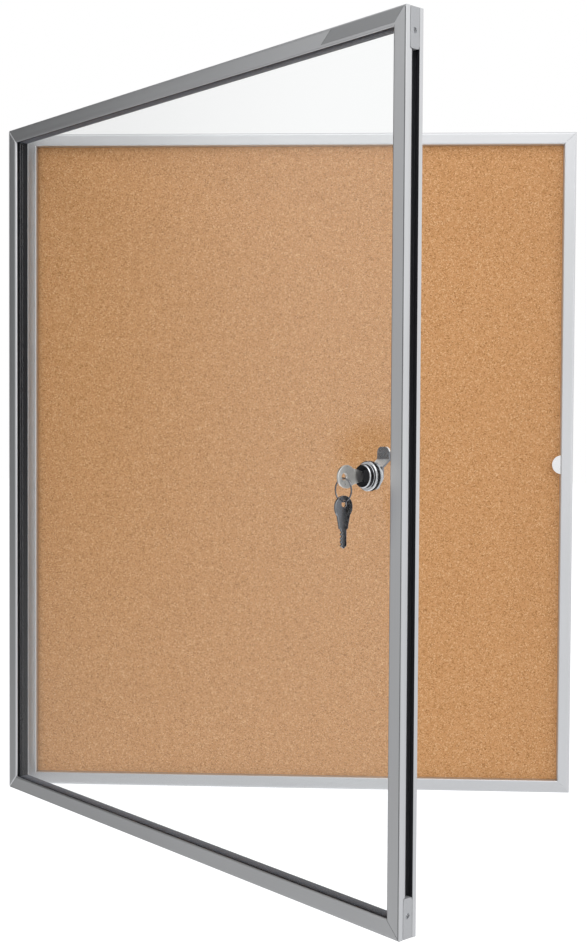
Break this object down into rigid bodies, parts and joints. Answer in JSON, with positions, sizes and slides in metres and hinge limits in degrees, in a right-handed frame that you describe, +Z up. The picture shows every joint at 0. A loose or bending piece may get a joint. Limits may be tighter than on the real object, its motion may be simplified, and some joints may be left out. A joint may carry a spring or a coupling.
{
  "type": "lockable notice board",
  "caption": "Lockable wall notice board: shallow aluminium case with a cork panel and a hinged glazed door held by a cam lock.",
  "frame": {"origin": "middle of the lower edge of the back, on the wall face", "axes": "+Z up, the front looks along -Y, +X to the right as seen from the front; the wall lies in the plane y = 0"},
  "size_m": [0.5736, 0.4396, 0.67],
  "materials": {
    "anodised_case": "satin",
    "anodised_door": "satin",
    "die_cast_zinc": "satin",
    "cork": "matte",
    "fibreboard": "matte",
    "galvanised_sheet": "satin",
    "zinc_plated_steel": "satin",
    "bright_zinc": "polished",
    "black_rubber": "matte",
    "clear_acrylic": "gloss",
    "plate_aluminium": "satin",
    "grey_plastic": "matte",
    "hinge_zinc": "satin",
    "stainless_steel": "satin",
    "nylon": "matte",
    "chrome": "polished",
    "lock_core_metal": "satin",
    "wafer_brass": "satin",
    "cam_steel": "satin",
    "nickel_key": "polished",
    "ring_steel": "polished"
  },
  "bodies": {
    "case": {"backing_board": "fibreboard", "case_bottom_rail": "anodised_case", "case_corner_key_bottom_left": "die_cast_zinc", "case_corner_key_bottom_right": "die_cast_zinc", "case_corner_key_top_left": "die_cast_zinc", "case_corner_key_top_right": "die_cast_zinc", "case_hinge_stile": "anodised_case", "case_lock_stile": "anodised_case", "case_top_rail": "anodised_case", "cork_sheet": "cork", "hanger_screws": "zinc_plated_steel", "hinge_case_screws": "zinc_plated_steel", "hinge_washers": "nylon", "lower_hinge_case_leaf": "hinge_zinc", "lower_hinge_pin": "stainless_steel", "rear_sheet": "galvanised_sheet", "strike": "bright_zinc", "strike_screw": "zinc_plated_steel", "upper_hinge_case_leaf": "hinge_zinc", "upper_hinge_pin": "stainless_steel", "wall_hanger_bottom_left": "galvanised_sheet", "wall_hanger_bottom_right": "galvanised_sheet", "wall_hanger_top_left": "galvanised_sheet", "wall_hanger_top_right": "galvanised_sheet"},
    "door": {"door_bottom_rail": "anodised_door", "door_corner_key_bottom_left": "die_cast_zinc", "door_corner_key_bottom_right": "die_cast_zinc", "door_corner_key_top_left": "die_cast_zinc", "door_corner_key_top_right": "die_cast_zinc", "door_hinge_stile": "anodised_door", "door_lock_stile": "anodised_door", "door_top_rail": "anodised_door", "gasket_bottom_rail": "black_rubber", "gasket_hinge_stile": "black_rubber", "gasket_lock_stile": "black_rubber", "gasket_top_rail": "black_rubber", "hinge_door_screws": "zinc_plated_steel", "lock_front_washer": "black_rubber", "lock_housing": "chrome", "lock_nut": "zinc_plated_steel", "lock_rear_washer": "black_rubber", "lower_end_plug": "grey_plastic", "lower_hinge_door_leaf": "hinge_zinc", "name_plate": "plate_aluminium", "pane": "clear_acrylic", "plug_screws": "zinc_plated_steel", "upper_end_plug": "grey_plastic", "upper_hinge_door_leaf": "hinge_zinc"},
    "lock_core": {"lock_core": "lock_core_metal", "lock_wafers": "wafer_brass", "wafer_springs": "wafer_brass", "cam": "cam_steel", "cam_screw": "zinc_plated_steel"},
    "key": {"key": "nickel_key"},
    "ring": {"key_ring": "ring_steel"},
    "spare": {"spare_key": "nickel_key"}
  },
  "joints": [
    {"name": "door_swing", "type": "hinge", "parent": "case", "child": "door", "pos_m": [-0.2835, -0.02215, 0.335], "axis": [0, 0, -1], "range_deg": [-46, 119]},
    {"name": "lock_turn", "type": "hinge", "parent": "door", "child": "lock_core", "pos_m": [0.07067, -0.40927, 0.335], "axis": [0.7193, 0.6947, 0], "range_deg": [0, 90]},
    {"name": "key_withdraw", "type": "slide", "parent": "lock_core", "child": "key", "axis": [-0.7193, -0.6947, 0], "range_m": [0, 0.02]},
    {"name": "ring_swing", "type": "hinge", "parent": "key", "child": "ring", "pos_m": [0.0529, -0.42643, 0.3339], "axis": [-0.7193, -0.6947, 0], "range_deg": [-25, 25]},
    {"name": "spare_key_swing", "type": "hinge", "parent": "ring", "child": "spare", "pos_m": [0.0529, -0.42643, 0.3169], "axis": [0.6947, -0.7193, 0], "range_deg": [-60, 40]}
  ]
}
